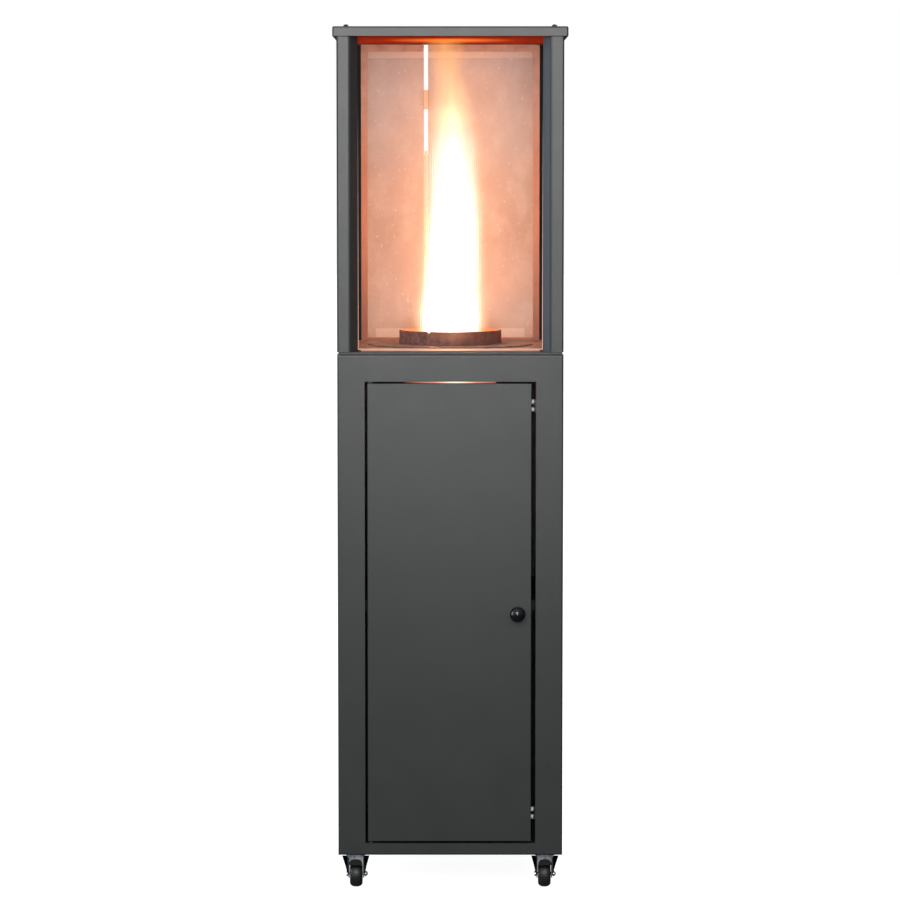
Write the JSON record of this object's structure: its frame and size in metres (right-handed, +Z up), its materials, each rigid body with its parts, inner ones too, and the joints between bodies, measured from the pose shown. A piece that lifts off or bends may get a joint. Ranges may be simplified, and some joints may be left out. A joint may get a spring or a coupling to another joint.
{
  "type": "outdoor heater",
  "caption": "Tall square patio heater: a steel cabinet with a hinged door on swivel castors, carrying a glazed flame chamber round an open fuel burner, under a flat cap.",
  "frame": {"origin": "middle of the overall footprint, on the floor under the castors", "axes": "+Z up, -Y out of the door side, +X to the right as seen from the front"},
  "size_m": [0.445, 0.4718, 1.6572],
  "materials": {
    "powder_coat": "fine satin powder coat, dark anthracite",
    "glass": "clear ceramic glass, lightly sooted",
    "scorched_steel": "scorched and rusted",
    "raw_steel": "plain sheet",
    "zinc": "bright zinc plate",
    "black_steel": "black satin",
    "black_plastic": "polished",
    "white_nylon": "matt",
    "tyre_rubber": "matt"
  },
  "bodies": {
    "tower": {"ash_shelf": "powder_coat", "ash_tray": "raw_steel", "bottom_panel": "powder_coat", "burner_ring": "scorched_steel", "cap_screw_front_left": "black_steel", "cap_screw_front_right": "black_steel", "cap_screw_rear_left": "black_steel", "cap_screw_rear_right": "black_steel", "castor_plate_front_left": "zinc", "castor_plate_front_right": "zinc", "castor_plate_rear_left": "zinc", "castor_plate_rear_right": "zinc", "ceiling_plate": "scorched_steel", "chamber_floor": "powder_coat", "firepot": "scorched_steel", "firepot_flange": "scorched_steel", "front_frame": "powder_coat", "front_glass": "glass", "grate": "scorched_steel", "left_glass": "glass", "pivot_pin_lower": "zinc", "pivot_pin_upper": "zinc", "post_front_left": "powder_coat", "post_front_right": "powder_coat", "post_rear_left": "powder_coat", "post_rear_right": "powder_coat", "rear_glass_clip": "raw_steel", "rear_glass_frame_left": "powder_coat", "rear_glass_frame_right": "powder_coat", "rear_glass_left": "glass", "rear_glass_right": "glass", "rear_panel": "powder_coat", "right_glass": "glass", "roller_catch_lower": "white_nylon", "roller_catch_upper": "white_nylon", "shutter_bolt": "raw_steel", "side_panel_left": "powder_coat", "side_panel_right": "powder_coat", "top_cap": "powder_coat"},
    "door": {"door_panel": "powder_coat", "door_knob": "black_plastic", "strike_upper": "zinc", "strike_lower": "zinc"},
    "air_shutter": {"air_shutter": "raw_steel"},
    "castor_swivel_front_left": {"castor_fork_front_left": "zinc", "castor_axle_front_left": "zinc"},
    "castor_wheel_front_left": {"wheel_hub_front_left": "black_plastic", "wheel_tyre_front_left": "tyre_rubber"},
    "castor_swivel_front_right": {"castor_fork_front_right": "zinc", "castor_axle_front_right": "zinc"},
    "castor_wheel_front_right": {"wheel_hub_front_right": "black_plastic", "wheel_tyre_front_right": "tyre_rubber"},
    "castor_swivel_rear_left": {"castor_fork_rear_left": "zinc", "castor_axle_rear_left": "zinc"},
    "castor_wheel_rear_left": {"wheel_hub_rear_left": "black_plastic", "wheel_tyre_rear_left": "tyre_rubber"},
    "castor_swivel_rear_right": {"castor_fork_rear_right": "zinc", "castor_axle_rear_right": "zinc"},
    "castor_wheel_rear_right": {"wheel_hub_rear_right": "black_plastic", "wheel_tyre_rear_right": "tyre_rubber"}
  },
  "joints": [
    {"name": "door_hinge", "type": "hinge", "parent": "tower", "child": "door", "pos_m": [-0.152, -0.197, 0.539], "axis": [0, 0, -1], "range_deg": [0, 105]},
    {"name": "air_shutter_turn", "type": "hinge", "parent": "tower", "child": "air_shutter", "pos_m": [0, 0.012, 0.698], "axis": [0, 0, 1], "range_deg": [0, 30]},
    {"name": "castor_swivel_front_left_turn", "type": "hinge", "parent": "tower", "child": "castor_swivel_front_left", "pos_m": [-0.182, -0.17, 0.068], "axis": [0, 0, 1], "continuous": true},
    {"name": "castor_wheel_front_left_spin", "type": "hinge", "parent": "castor_swivel_front_left", "child": "castor_wheel_front_left", "pos_m": [-0.182, -0.153, 0.025], "axis": [1, 0, 0], "continuous": true},
    {"name": "castor_swivel_front_right_turn", "type": "hinge", "parent": "tower", "child": "castor_swivel_front_right", "pos_m": [0.182, -0.17, 0.068], "axis": [0, 0, 1], "continuous": true},
    {"name": "castor_wheel_front_right_spin", "type": "hinge", "parent": "castor_swivel_front_right", "child": "castor_wheel_front_right", "pos_m": [0.182, -0.153, 0.025], "axis": [1, 0, 0], "continuous": true},
    {"name": "castor_swivel_rear_left_turn", "type": "hinge", "parent": "tower", "child": "castor_swivel_rear_left", "pos_m": [-0.182, 0.194, 0.068], "axis": [0, 0, 1], "continuous": true},
    {"name": "castor_wheel_rear_left_spin", "type": "hinge", "parent": "castor_swivel_rear_left", "child": "castor_wheel_rear_left", "pos_m": [-0.182, 0.211, 0.025], "axis": [1, 0, 0], "continuous": true},
    {"name": "castor_swivel_rear_right_turn", "type": "hinge", "parent": "tower", "child": "castor_swivel_rear_right", "pos_m": [0.182, 0.194, 0.068], "axis": [0, 0, 1], "continuous": true},
    {"name": "castor_wheel_rear_right_spin", "type": "hinge", "parent": "castor_swivel_rear_right", "child": "castor_wheel_rear_right", "pos_m": [0.182, 0.211, 0.025], "axis": [1, 0, 0], "continuous": true}
  ]
}
